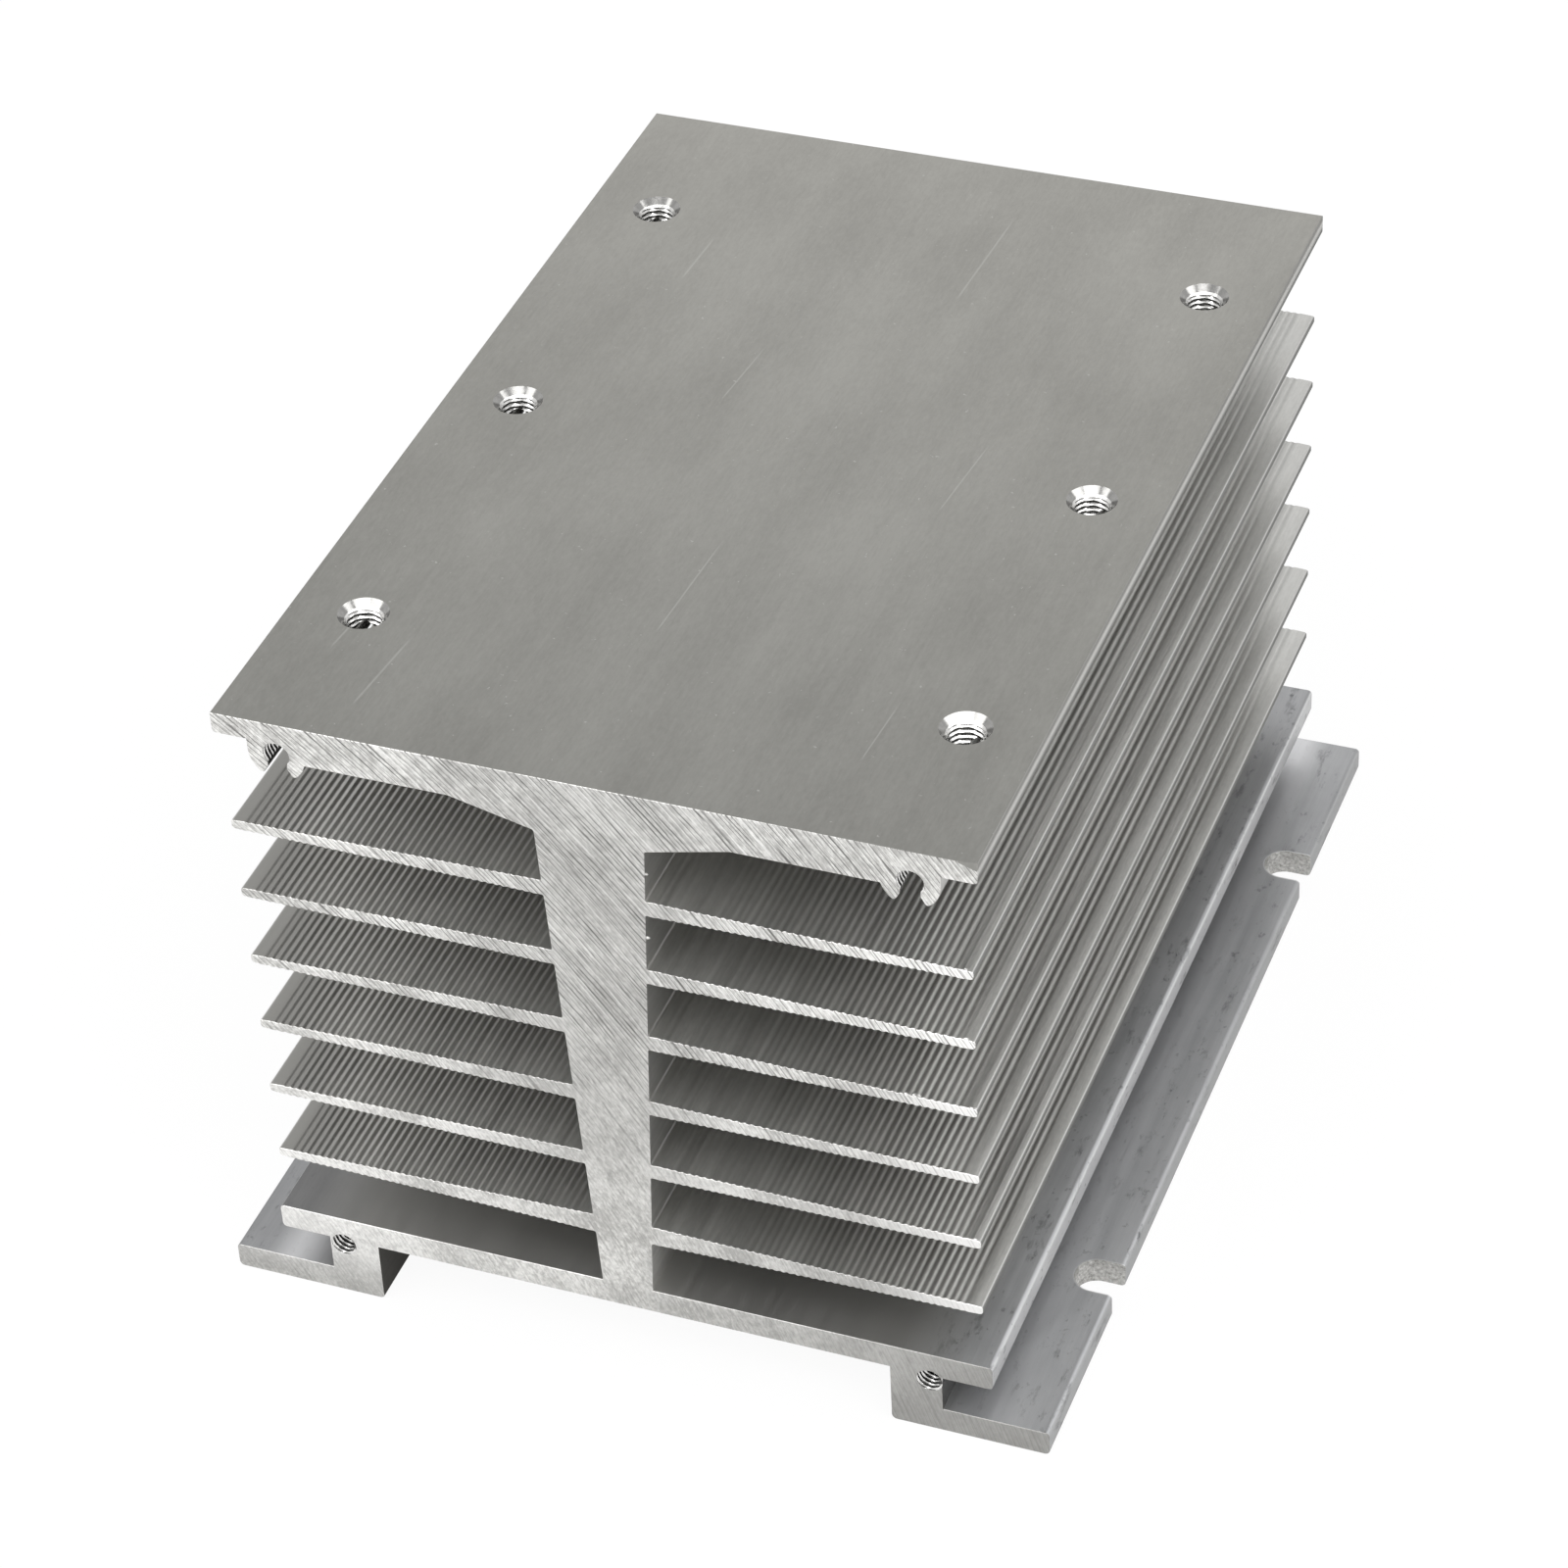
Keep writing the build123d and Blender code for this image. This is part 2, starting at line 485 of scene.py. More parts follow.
def fin_tip_top(index):
    """Level of the upper face of a fin at its tip."""
    return first_fin_face - index * fin_pitch - fin_root_thickness / 2 + fin_tip_thickness / 2


chipped_corner = Vector((plate_width / 2, -length / 2, overall_height))
burr_places = [
    (47.9 * mm, fin_tip_top(0), 0.30 * mm),
    (46.9 * mm, fin_tip_top(0), 0.22 * mm),
    (47.6 * mm, fin_tip_top(1), 0.32 * mm),
    (48.2 * mm, fin_tip_top(2), 0.34 * mm),
    (41.0 * mm, fin_tip_top(2) + 0.1 * mm, 0.42 * mm),
    (39.6 * mm, fin_tip_top(2) + 0.12 * mm, 0.26 * mm),
    (48.1 * mm, fin_tip_top(4), 0.28 * mm),
    (web_half_width(73.7 * mm), 73.7 * mm, 0.28 * mm),
    (web_half_width(83.9 * mm), 83.9 * mm, 0.24 * mm),
]
burrs = bmesh.new()
for place in burr_places:
    burr(burrs, *place)
print(len(burr_places), "burrs")

# %% [markdown]
# ## Machine the bar
# The burrs sit in one mesh and are joined on. All the cutters sit in another, and one Boolean
# takes them away. The plate's holes go right through into the screw channels, and the end holes
# lie on the corners of a fan's square.

# %% Machine the bar
def solid_from(bm, name):
    """Closes a mesh of separate closed shells and gives its object."""
    bmesh.ops.recalc_face_normals(bm, faces=bm.faces)
    mesh = bpy.data.meshes.new(name)
    bm.to_mesh(mesh)
    bm.free()
    solid = bpy.data.objects.new(name, mesh)
    bpy.context.scene.collection.objects.link(solid)
    return solid


cutters = bmesh.new()
corner_chip(cutters, chipped_corner, 2.8 * mm, 1.0 * mm, 0.4 * mm)
module_places = []
for side in (-1, 1):
    for row in (-1, 0, 1):
        spot = (side * module_spacing / 2, row * module_row_pitch, overall_height)
        module_places.append(Matrix.Translation(spot))
        threaded_rod(cutters, module_places[-1], module_depth, module_pitch, module_radius)
end_places = []
for end in (-1, 1):
    facing = Matrix.Rotation(math.radians(-90 * end), 4, "X")
    for side in (-1, 1):
        for level in (channel_level, channel_level - fan_hole_pitch):
            spot = (side * bore_offset, end * length / 2, level)
            end_places.append(Matrix.Translation(spot) @ facing)
            threaded_rod(cutters, end_places[-1], end_depth, end_pitch, end_radius)
for side in (-1, 1):
    for y in (-slot_pitch / 2, slot_pitch / 2):
        slot_prism(cutters, side, y)
tools = {"UNION": solid_from(burrs, "burrs"), "DIFFERENCE": solid_from(cutters, "cutters")}
for operation, tool in tools.items():
    change = bar.modifiers.new(tool.name, "BOOLEAN")
    change.object = tool
    change.operation = operation
    change.solver = "MANIFOLD"
graph = bpy.context.evaluated_depsgraph_get()
machined_mesh = bpy.data.meshes.new_from_object(bar.evaluated_get(graph))
bar.modifiers.clear()
bar.data = machined_mesh
for tool in tools.values():
    bpy.data.objects.remove(tool)
print("the machined bar has", len(bar.data.polygons), "faces")

# %% [markdown]
# ## Shader maths as plain expressions
# A `Field` wraps one output of a node. Its operators add Math nodes, so a pattern of numbers is
# written as a formula. Colours go through `Finish.blend`, because a Math node would turn them
# grey. Every other node comes from `Finish.add`, which sets a node's options first and then its
# sockets.

# %% Shader maths as plain expressions
class Field:
    """A number, colour or vector that varies over a surface: one output of a node."""

    def __init__(self, finish, socket):
        self.finish = finish
        self.socket = socket

    def math(self, operation, *others):
        sockets = dict(enumerate((self, *others)))
        return self.finish.add("ShaderNodeMath", {"operation": operation}, sockets)

    def __add__(self, other):
        return self.math("ADD", other)

    __radd__ = __add__

    def __mul__(self, other):
        return self.math("MULTIPLY", other)

    __rmul__ = __mul__

    def __sub__(self, other):
        return self.math("SUBTRACT", other)

    def __rsub__(self, other):
        return self * -1 + other


class Finish:
    """A material, or the world, whose nodes are added one by one."""

    def __init__(self, name, owner=None):
        self.owner = owner or bpy.data.materials.new(name)
        self.owner.use_nodes = True
        self.tree = self.owner.node_tree
        self.tree.nodes.clear()

    def add(self, kind, settings=None, sockets=None, output=0):
        """Adds a node with its settings, then its socket values or links, and gives one output."""
        node = self.tree.nodes.new(kind)
        for name, value in (settings or {}).items():
            setattr(node, name, value)
        for name, value in (sockets or {}).items():
            if isinstance(value, Field):
                self.tree.links.new(value.socket, node.inputs[name])
            else:
                node.inputs[name].default_value = value
        return Field(self, node.outputs[output]) if node.outputs else node

    def axes(self):
        """X, Y and Z of the part's own frame, in millimetres, as three fields."""
        place = self.add("ShaderNodeTexCoord", output="Object")
        split = self.add("ShaderNodeSeparateXYZ", sockets={0: place})
        outputs = split.socket.node.outputs
        return [Field(self, outputs[axis]) * (1 / mm) for axis in "XYZ"]

    def vector(self, x, y, z):
        """A place for a noise, from three fields or numbers."""
        return self.add("ShaderNodeCombineXYZ", sockets={"X": x, "Y": y, "Z": z})

    def noise(self, vector, scale, detail=2.0, roughness=0.5):
        """A smooth random field around 0.5."""
        sockets = {"Vector": vector, "Scale": scale, "Detail": detail, "Roughness": roughness}
        return self.add("ShaderNodeTexNoise", sockets=sockets)

    def spread(self, value, low, high):
        """The value from low to high, stretched to run from 0 to 1."""
        sockets = {"Value": value, "From Min": low, "From Max": high}
        return self.add("ShaderNodeMapRange", {"clamp": True}, sockets)

    def blend(self, share, first, second):
        """A colour between two colours."""
        sockets = {0: share, 6: first, 7: second}
        return self.add("ShaderNodeMix", {"data_type": "RGBA"}, sockets, output=2)

    def metal(self, colour, roughness, height, distance, glancing=1.0):
        """Closes a metal surface: colour, roughness, a bump of 0 to 1, and sheen at low angles."""
        bump = {"Height": height, "Distance": distance, "Strength": 1.0}
        normal = self.add("ShaderNodeBump", sockets=bump)
        sockets = {"Base Color": colour, "Metallic": 1.0, "Roughness": roughness, "Normal": normal}
        sockets["Specular Tint"] = (glancing, glancing, glancing, 1)
        surface = self.add("ShaderNodeBsdfPrincipled", sockets=sockets)
        self.add("ShaderNodeOutputMaterial", sockets={"Surface": surface})
        return self.owner


print("a Field and a Finish are ready")

# %% [markdown]
# ## Streaks and outer edges
# Metal that slides through a die is drawn out in one direction. Its colour and its sheen vary
# in long streaks along the bar and hardly at all along their own length, so the noise is
# stretched twenty to thirty times along Y. Where a plate or a fin ends, a painted highlight
# lines its corner, and the narrow side below has painted light and shade of its own. The
# surface's own normal tells the three apart: it turns from up to sideways over that corner.

# %% Streaks and outer edges
shelter_end = 37.0
open_start = 46.0


def streaks_along_bar(finish, x, y, z):
    """Streak fields from broad to fine, drawn out along Y."""
    across = x + z * 1.3
    broad = finish.noise(finish.vector(across * 0.12, y * 0.004, z * 0.02), 1.0, 3.0)
    middle = finish.noise(finish.vector(across * 0.8, y * 0.03, z * 0.1), 1.0, 4.0, 0.65)
    fine = finish.noise(finish.vector(across * 4.0, y * 0.2, z), 1.0, 3.0, 0.6)
    return broad, middle, fine


def fin_gap_openness(finish, x):
    """0 deep between the fins, 1 near their tips: it sets where painted light and shade fall."""
    return finish.spread(x.math("ABSOLUTE"), shelter_end, open_start)


def outer_edge(finish, x, start, colour, edge_colour, side_colour):
    """The colour with a painted highlight where the top turns over, beyond start, and a side colour of
    painted light and shade.
    """
    normal = finish.add("ShaderNodeTexCoord", output="Normal")
    outputs = finish.add("ShaderNodeSeparateXYZ", sockets={0: normal}).socket.node.outputs
    outermost = finish.spread(x.math("ABSOLUTE"), start, start + 0.2)
    sideways = Field(finish, outputs["X"]).math("ABSOLUTE")
    upward = finish.spread(Field(finish, outputs["Z"]), -0.1, 0.1)
    turning = finish.spread(sideways, 0.1, 0.4) * upward
    colour = finish.blend(turning * outermost, colour, edge_colour)
    return finish.blend(finish.spread(sideways, 0.6, 0.85) * outermost, colour, side_colour)


print("open metal starts", open_start, "mm from the middle")

# %% [markdown]
# ## A scratch
# A scratch is a thin straight mark. It is found from two distances: how far a point lies beside
# the scratch's line, and how far along it. The far end fades out more slowly than the near one.

# %% A scratch
def scratch(finish, x, y, start, end, width):
    """1 along a straight scratch from start to end, in millimetres, and 0 away from it."""
    way = Vector(end) - Vector(start)
    ahead = way.normalized()
    along = (x - start[0]) * ahead.x + (y - start[1]) * ahead.y
    aside = (y - start[1]) * ahead.x - (x - start[0]) * ahead.y
    near_line = finish.spread(aside.math("ABSOLUTE"), width, width * 0.3)
    within = finish.spread(along, 0, 1.5) * finish.spread(along, way.length, way.length - 4)
    return near_line * within


print("scratches are ready")

# %% [markdown]
# ## Plate finish
# The plate is a darker grey than the rest. Painted shade makes it darkest at the front, and
# painted light makes it lighter towards the back. Its streaks are worn faint, and a few scratches
# run nearly along the bar. Its long sides are grey at the top, then have a painted reflection as
# a bright band, and painted shade makes them darker again below.

# %% Plate finish
plate_half_length = 75.0
plate_side_start = 49.4
plate_front_painted_shade = (0.250, 0.248, 0.233, 1), (0.315, 0.313, 0.295, 1)
plate_back_painted_light = (0.310, 0.305, 0.286, 1), (0.385, 0.379, 0.356, 1)
plate_edge_painted_light = (0.36, 0.356, 0.342, 1)
plate_side_painted_reflection = (0.66, 0.655, 0.635, 1)
plate_side_painted_shade = (0.28, 0.28, 0.27, 1)
mark_colour = (0.60, 0.60, 0.58, 1)
plate_scratches = [
    ((-3.2, -43.0), (-2.2, -22.0), 0.16),
    ((-33.5, -68.0), (-32.0, -52.0), 0.22),
    ((-41.0, -58.0), (-40.2, -50.0), 0.2),
    ((-14.0, 8.0), (-12.8, 22.0), 0.15),
    ((22.0, -8.0), (23.5, 9.0), 0.15),
    ((-30.0, 34.0), (-29.4, 46.0), 0.2),
    ((8.0, 40.0), (9.0, 62.0), 0.18),
    ((30.0, -60.0), (30.8, -47.0), 0.15),
]


def plate_finish():
    finish = Finish("plate_mill")
    x, y, z = finish.axes()
    broad, middle, fine = streaks_along_bar(finish, x, y, z)
    cloud = finish.noise(finish.vector(x, y * 0.5, z), 0.06, 4.0, 0.6)
    grain = finish.noise(finish.vector(x, y * 0.4, z), 2.2, 3.0, 0.6)
    mixture = broad * 0.1 + middle * 0.25 + fine * 0.1 + cloud * 0.35 + grain * 0.2
    tone = finish.spread(mixture, 0.40, 0.60)
    # Painted shade at the front and painted light at the back: the colour runs from darker to lighter
    # along Y.
    front, back = (finish.blend(tone, *pair) for pair in (plate_front_painted_shade, plate_back_painted_light))
    colour = finish.blend(finish.spread(y, -plate_half_length, plate_half_length), front, back)
    marks = sum(scratch(finish, x, y, *mark) for mark in plate_scratches)
    nicks = finish.spread(finish.noise(finish.vector(x, y, z), 1.3, 2.0, 0.5), 0.73, 0.78)
    colour = finish.blend((marks * 0.25).math("MAXIMUM", nicks * 0.4), colour, mark_colour)
    # Painted reflection on the long sides: grey at the top, a bright band, painted shade below, and a
    # painted highlight where the top turns over.
    depth = overall_height / mm - z
    side = finish.blend(finish.spread(depth, 1.5, 2.1), plate_side_painted_reflection, plate_side_painted_shade)
    side = finish.blend(finish.spread(depth, 1.0, 0.6), side, plate_edge_painted_light)
    colour = outer_edge(finish, x, plate_side_start, colour, plate_edge_painted_light, side)
    roughness = finish.spread(middle, 0.2, 0.8) * 0.12 + 0.42
    return finish.metal(colour, roughness, middle * 0.2 + fine * 0.2 + grain * 0.6, 0.03 * mm, 0.35)


plate_mill = plate_finish()
print("finish", plate_mill.name, "with", len(plate_scratches), "scratches")

# %% [markdown]
# ## Fin finish
# Deep between the fins painted light makes the metal brighter. Near the tips painted shade makes
# it darker, more so on the left, and on the right painted light fades towards the back. Painted
# shade darkens the grooves there: they follow the same cosine as the ribs, so one formula of X finds
# them.

# %% Fin finish
fin_tip_start = 48.2
fin_sheltered_painted_light = (0.67, 0.665, 0.642, 1)
fin_side_painted_shade = (0.30, 0.30, 0.29, 1)
fin_edge_painted_highlight = (0.64, 0.635, 0.62, 1)
fin_tips_left_painted_shade = (0.32, 0.315, 0.30, 1)
fin_tips_right_painted_light = (0.76, 0.757, 0.735, 1)
fin_tips_back_painted_shade = (0.58, 0.577, 0.56, 1)
streak_and_groove_shade = (0.30, 0.30, 0.29, 1)


def fin_finish():
    finish = Finish("fin_mill")
    x, y, z = finish.axes()
    broad, middle, fine = streaks_along_bar(finish, x, y, z)
    grain = finish.noise(finish.vector(x, y * 0.4, z), 2.2, 3.0, 0.6)
    # Painted light deep between the fins; painted shade near the tips, most on the left and towards the
    # back on the right.
    right = finish.blend(finish.spread(y, 15, 70), fin_tips_right_painted_light, fin_tips_back_painted_shade)
    tips = finish.blend(finish.spread(x, -1, 1), fin_tips_left_painted_shade, right)
    colour = finish.blend(fin_gap_openness(finish, x), fin_sheltered_painted_light, tips)
    tone = finish.spread(middle * 0.5 + fine * 0.25 + grain * 0.25, 0.6, 0.4)
    colour = finish.blend(tone * 0.3, colour, streak_and_groove_shade)
    # Painted shade in the grooves near the tips, in the streaks' darker grey.
    groove = (x * (2 * math.pi * mm / rib_pitch)).math("COSINE") * -0.5 + 0.5
    last_groove = last_rib_groove / mm
    ribbed = finish.spread(x, 12, 22) * finish.spread(x, last_groove + 0.5, last_groove)
    colour = finish.blend(groove * ribbed * 0.3, colour, streak_and_groove_shade)
    # Painted highlight on the tips' upper corner, and painted shade on their narrow sides.
    edge = finish.blend(fin_gap_openness(finish, x), colour, fin_edge_painted_highlight)
    colour = outer_edge(finish, x, fin_tip_start, colour, edge, fin_side_painted_shade)
    roughness = finish.spread(middle, 0.2, 0.8) * 0.1 + 0.42
    return finish.metal(colour, roughness, middle * 0.4 + fine * 0.3 + grain * 0.3, 0.03 * mm, 0.35)


fin_mill = fin_finish()
print("finish", fin_mill.name)

# %% [markdown]
# ## Base finish
# The base and the feet have lain on benches. Their grey is a little bluer, with dark scuffs and
# specks. A scuff is where a noise goes over a limit, so most of the metal stays clean. Painted
# light and shade give the left, the right front and the right back their own greys, and painted
# light brightens the base between the fins. A painted highlight rims each slot, found from the
# distance to the slot's middle line, and painted light brightens the strip of each foot under
# the base plate. The sides carry painted light on the base and painted shade on the inner walls.

# %% Base finish
base_side_start = 30.0
base_left_painted_shade = (0.18, 0.18, 0.18, 1), (0.23, 0.23, 0.23, 1)
base_right_painted_light = (0.52, 0.527, 0.537, 1), (0.64, 0.646, 0.655, 1)
foot_left_painted_shade = (0.29, 0.293, 0.30, 1), (0.37, 0.373, 0.38, 1)
foot_front_painted_light = (0.50, 0.507, 0.52, 1), (0.60, 0.605, 0.615, 1)
foot_back_painted_shade = (0.32, 0.323, 0.33, 1), (0.41, 0.413, 0.42, 1)
base_sheltered_painted_light = (0.52, 0.515, 0.50, 1)
base_side_painted_light = (0.66, 0.662, 0.665, 1)
foot_side = (0.46, 0.462, 0.465, 1)
foot_inner_side_painted_shade = (0.07, 0.068, 0.063, 1)
scuff_colour = (0.16, 0.16, 0.165, 1)
slot_rim_highlight = (0.85, 0.85, 0.85, 1)
under_base_painted_light = (0.85, 0.85, 0.86, 1)
slot_centre = (foot_span / 2 - slot_reach + slot_radius) / mm


def base_finish():
    finish = Finish("base_mill")
    x, y, z = finish.axes()
    broad, middle, fine = streaks_along_bar(finish, x, y, z)
    cloud = finish.noise(finish.vector(x, y, z), 0.08, 4.0, 0.6)
    tone = finish.spread(broad * 0.15 + middle * 0.35 + fine * 0.15 + cloud * 0.35, 0.38, 0.62)
    on_base = finish.spread(z, 5, 6)
    # Painted light and shade: each side and end of the base and feet has its own grey.
    pairs = (foot_left_painted_shade, base_left_painted_shade, foot_front_painted_light, base_right_painted_light, foot_back_painted_shade)
    tones = [finish.blend(tone, *pair) for pair in pairs]
    left = finish.blend(on_base, *tones[0:2])
    front = finish.blend(on_base, *tones[2:4])
    right = finish.blend(finish.spread(y, -40, 60), front, tones[4])
    colour = finish.blend(finish.spread(x, -1, 1), left, right)
    rubs = finish.noise(finish.vector(x * 0.5, y * 0.16, z * 0.5), 1.0, 6.0, 0.7)
    specks = finish.noise(finish.vector(x, y * 0.6, z), 0.9, 4.0, 0.6)
    scuffs = finish.spread(rubs, 0.57, 0.68) * 0.55 + finish.spread(specks, 0.62, 0.70) * 0.5
    colour = finish.blend(scuffs, colour, scuff_colour)

    # Painted highlight: a bright rim along each slot's edge.
    inwards = (slot_centre - x.math("ABSOLUTE")).math("MAXIMUM", 0)
    beside = y.math("ABSOLUTE") - slot_pitch / 2 / mm
    from_slot = (inwards * inwards + beside * beside).math("SQRT")
    rim = finish.spread((from_slot - slot_radius / mm).math("ABSOLUTE"), 0.25, 0.1) * (1 - on_base)
    colour = finish.blend(rim * 0.6, colour, slot_rim_highlight)
    # Painted light on the strip of each foot under the base plate.
    under_base = finish.spread(x.math("ABSOLUTE"), 53.0, 49.5) * (1 - on_base)
    colour = finish.blend(under_base * 0.5, colour, under_base_painted_light)
    # Painted light on the base between the fins.
    colour = finish.blend(fin_gap_openness(finish, x), base_sheltered_painted_light, colour)

    # Painted light on the base's sides, and painted shade on the inner walls of the feet.
    side = finish.blend(on_base, foot_side, base_side_painted_light)
    side = finish.blend(scuffs, side, scuff_colour)
    inner = finish.spread(x.math("ABSOLUTE"), 46, 45)
    side = finish.blend(inner, side, foot_inner_side_painted_shade)
    colour = outer_edge(finish, x, base_side_start, colour, colour, side)
    roughness = finish.spread(middle, 0.2, 0.8) * 0.1 + 0.42
    return finish.metal(colour, roughness, middle * 0.4 + fine * 0.3 + specks * 0.3, 0.04 * mm, 0.6)


base_mill = base_finish()
print("finish", base_mill.name)

# %% [markdown]
# ## Sawn finish
# A circular saw leaves arcs about its own centre. The distance from that centre is the only
# thing that changes across the lines. Each tooth leaves its line one step of feed after the
# last, so the lines are nearly even: the phase is the distance over the feed, shifted by a slow
# noise. A narrow part of each period is the dark score, and the part beside it is its bright
# lip. Low on the web the teeth rubbed more than they cut, and the lines give way to grain; the
# colour is also darker low on the web. Painted shade darkens the lower right end and the bottom,
# painted light brightens the lower left, and the tips where the saw broke out are bright. The
# noise is shifted by the sign of Y, so that the two ends of the bar don't carry the same marks.

# %% Sawn finish
saw_centre_x = -185.0
saw_centre_z = -77.0
saw_radius = 220.0
saw_feed = 0.62
end_shift = 37
sawn_dark = (0.44, 0.435, 0.42, 1)
sawn_light = (0.80, 0.795, 0.772, 1)
sawn_shade_colour = (0.27, 0.267, 0.257, 1)
score_colour = (0.10, 0.098, 0.094, 1)
lip_and_light_colour = (0.95, 0.945, 0.93, 1)


def sawn_finish():
    finish = Finish("sawn_finish")
    x, y, z = finish.axes()
    dx = x - saw_centre_x
    dz = z - saw_centre_z
    reach = (dx * dx + dz * dz).math("SQRT")
    along = dz.math("ARCTAN2", dx) * saw_radius
    side = y.math("SIGN") * end_shift
    drift = finish.noise(finish.vector(reach * 0.45, along * 0.02 + side, 0), 1.0, 4.0, 0.6)
    period = (reach * (1 / saw_feed) + drift * 4).math("FRACT")
    strength = finish.noise(finish.vector(reach * 0.7, along * 0.04 + side, 5), 1.0, 3.0, 0.6)
    sharp_area = finish.spread(z, 36.0, 62.0) * 0.75 + 0.25
    scores = finish.spread((period - 0.5).math("ABSOLUTE"), 0.15, 0.05)
    scores = scores * finish.spread(strength, 0.34, 0.56) * sharp_area
    lips = finish.spread((period - 0.2).math("ABSOLUTE"), 0.16, 0.05)
    lips = lips * finish.spread(strength, 0.58, 0.42)
    grain = finish.noise(finish.vector(reach * 2.2, along * 0.9 + side, 9), 1.0, 5.0, 0.7)
    patches = finish.noise(finish.vector(x, side, z), 0.12, 5.0, 0.65)
    tone = finish.spread(patches * 0.4 + grain * 0.6, 0.42, 0.58)
    colour = finish.blend(tone, sawn_dark, sawn_light)
    # Darker low on the web; painted shade towards the bottom and the lower right end.
    low_web_darkening = finish.spread(x.math("ABSOLUTE"), 26.0, 6.0) * finish.spread(z, 14.0, 40.0) * 0.4
    painted_shade_low = finish.spread(z, 10.0, 4.0) * 0.5
    low_darkening = low_web_darkening.math("MAXIMUM", painted_shade_low)
    sawn_painted_shade = (finish.spread(x - z, -25.0, 38.0) * 0.85).math("MAXIMUM", low_darkening)
    colour = finish.blend(sawn_painted_shade, colour, sawn_shade_colour)
    # Painted light on the lower left; the sawn tips of the fins are bright where the saw broke out.
    painted_light_lower_left = finish.spread(x + z, -5.0, -45.0) * finish.spread(z, 1.0, 9.0) * 0.5
    fin_levels = finish.spread(z, 16.0, 20.0) * finish.spread(z, 85.0, 82.0)
    at_tips = finish.spread(x, 34.0, 47.0) * fin_levels
    colour = finish.blend(painted_light_lower_left.math("MAXIMUM", at_tips * 0.7), colour, lip_and_light_colour)
    colour = finish.blend(lips * sharp_area * (0.55 - sawn_painted_shade * 0.4), colour, lip_and_light_colour)
    colour = finish.blend(scores * 0.8, colour, score_colour)
    roughness = finish.spread(grain, 0.2, 0.8) * 0.15 + 0.36
    height = grain * 0.4 + lips * 0.2 + scores * -0.4
    return finish.metal(colour, roughness, height, 0.05 * mm)


sawn = sawn_finish()
print("finish", sawn.name)

# %% [markdown]
# ## Cut finishes
# Drills, taps and cutters leave metal that is smoother than the rest, so it mirrors the room.
# One function makes all four finishes. Painted shade makes the flat crests of the threads and
# the flanks that face into the hole dark, and painted light makes the flanks that look out of it
# bright. The countersinks are the smoothest. The walls of the slots are the roughest and have the
# most uneven tone.

# %% Cut finishes
def cut_finish(name, dark, light, roughness, contrast=0.2):
    """A cut metal between two greys, with a slightly uneven gloss."""
    finish = Finish(name)
    x, y, z = finish.axes()
    marks = finish.noise(finish.vector(x, y, z), 2.0, 4.0, 0.65)
    colour = finish.blend(finish.spread(marks, 0.5 - contrast, 0.5 + contrast), dark, light)
    gloss = finish.spread(marks, 0.2, 0.8) * 0.08 + roughness
    return finish.metal(colour, gloss, marks, 0.005 * mm)


shaded_crest_greys = (0.07, 0.07, 0.067, 1), (0.12, 0.12, 0.115, 1)
sink_greys = (0.30, 0.297, 0.288, 1), (0.38, 0.376, 0.366, 1)
lit_flank_greys = (0.66, 0.655, 0.64, 1), (0.82, 0.815, 0.80, 1)
slot_greys = (0.28, 0.275, 0.262, 1), (0.66, 0.655, 0.64, 1)
# Painted shade on the threads' crests and inward flanks, painted light on their outward flanks.
shaded_crest_metal = cut_finish("thread_crest_painted_shade", *shaded_crest_greys, 0.35)
sink_metal = cut_finish("countersink", *sink_greys, 0.13)
lit_flank_metal = cut_finish("tapped_bore_painted_light", *lit_flank_greys, 0.22)
slot_metal = cut_finish("slot_wall", *slot_greys, 0.36, 0.16)
print("finishes", shaded_crest_metal.name, sink_metal.name, lit_flank_metal.name, slot_metal.name)

# %% [markdown]
# ## Which face was made by what
# The finishes go by the tool that made a face: the die, the saw, the drill and tap, or the
# slot cutter. A sawn face lies in an end plane or on a burr. A drilled one is close to the axis
# of a hole, and it doesn't lie in one of the bar's own faces. The worn corner has the plate's
# grey. All the rest is as the die left it, and there the height tells plate, fins and base apart.

# %% Which face was made by what
PLATE, FIN, BASE, SAWN, SINK, LIT_FLANK, SHADED_CREST, SLOT = range(8)
touching = 0.01 * mm
sink_depth = countersink_radius - module_major
chip_reach = 3.5 * mm


def hole_at(point, places, radius, depth):
    """The place of the hole that a point is in, or nothing."""
    for place in places:
        local = place.inverted() @ point
        if -depth <= local.z <= touching and local.xy.length < radius:
            return place
    return None


def thread_light_part(face, place):
    """Painted light makes a thread's flank that looks out of the hole bright, and painted shade makes all
    the rest dark.
    """
    outward = place.to_3x3() @ Vector((0, 0, 1))
    return LIT_FLANK if face.normal.dot(outward) > 0.3 else SHADED_CREST


def near_burr(centre):
    """True close to one of the burrs, which are wider than they are high."""
    gaps = ((centre - Vector((x, -length / 2, z)), size) for x, z, size in burr_places)
    return any(gap.length < 2.2 * size for gap, size in gaps)


def in_slot(centre, normal):
    """True for an upright face of a slot, but not for the foot's own outer side."""
    upright = abs(normal.z) < 0.3 and abs(normal.x) < 0.999
    along = abs(abs(centre.y) - slot_pitch / 2) < slot_radius + touching
    across = abs(centre.x) > foot_span / 2 - slot_reach - 0.1 * mm
    return upright and along and across and centre.z < foot_thickness


def pressed_part(centre):
    """The plate, a fin or the base, by height."""
    if centre.z < base_top + touching:
        return BASE
    beyond_channel = abs(centre.x) > bore_offset + channel_wall_radius
    if centre.z > (plate_edge_underside if beyond_channel else overall_height - edge_radius):
        return PLATE
    return FIN


print("finishes are numbered from", PLATE, "to", SLOT)

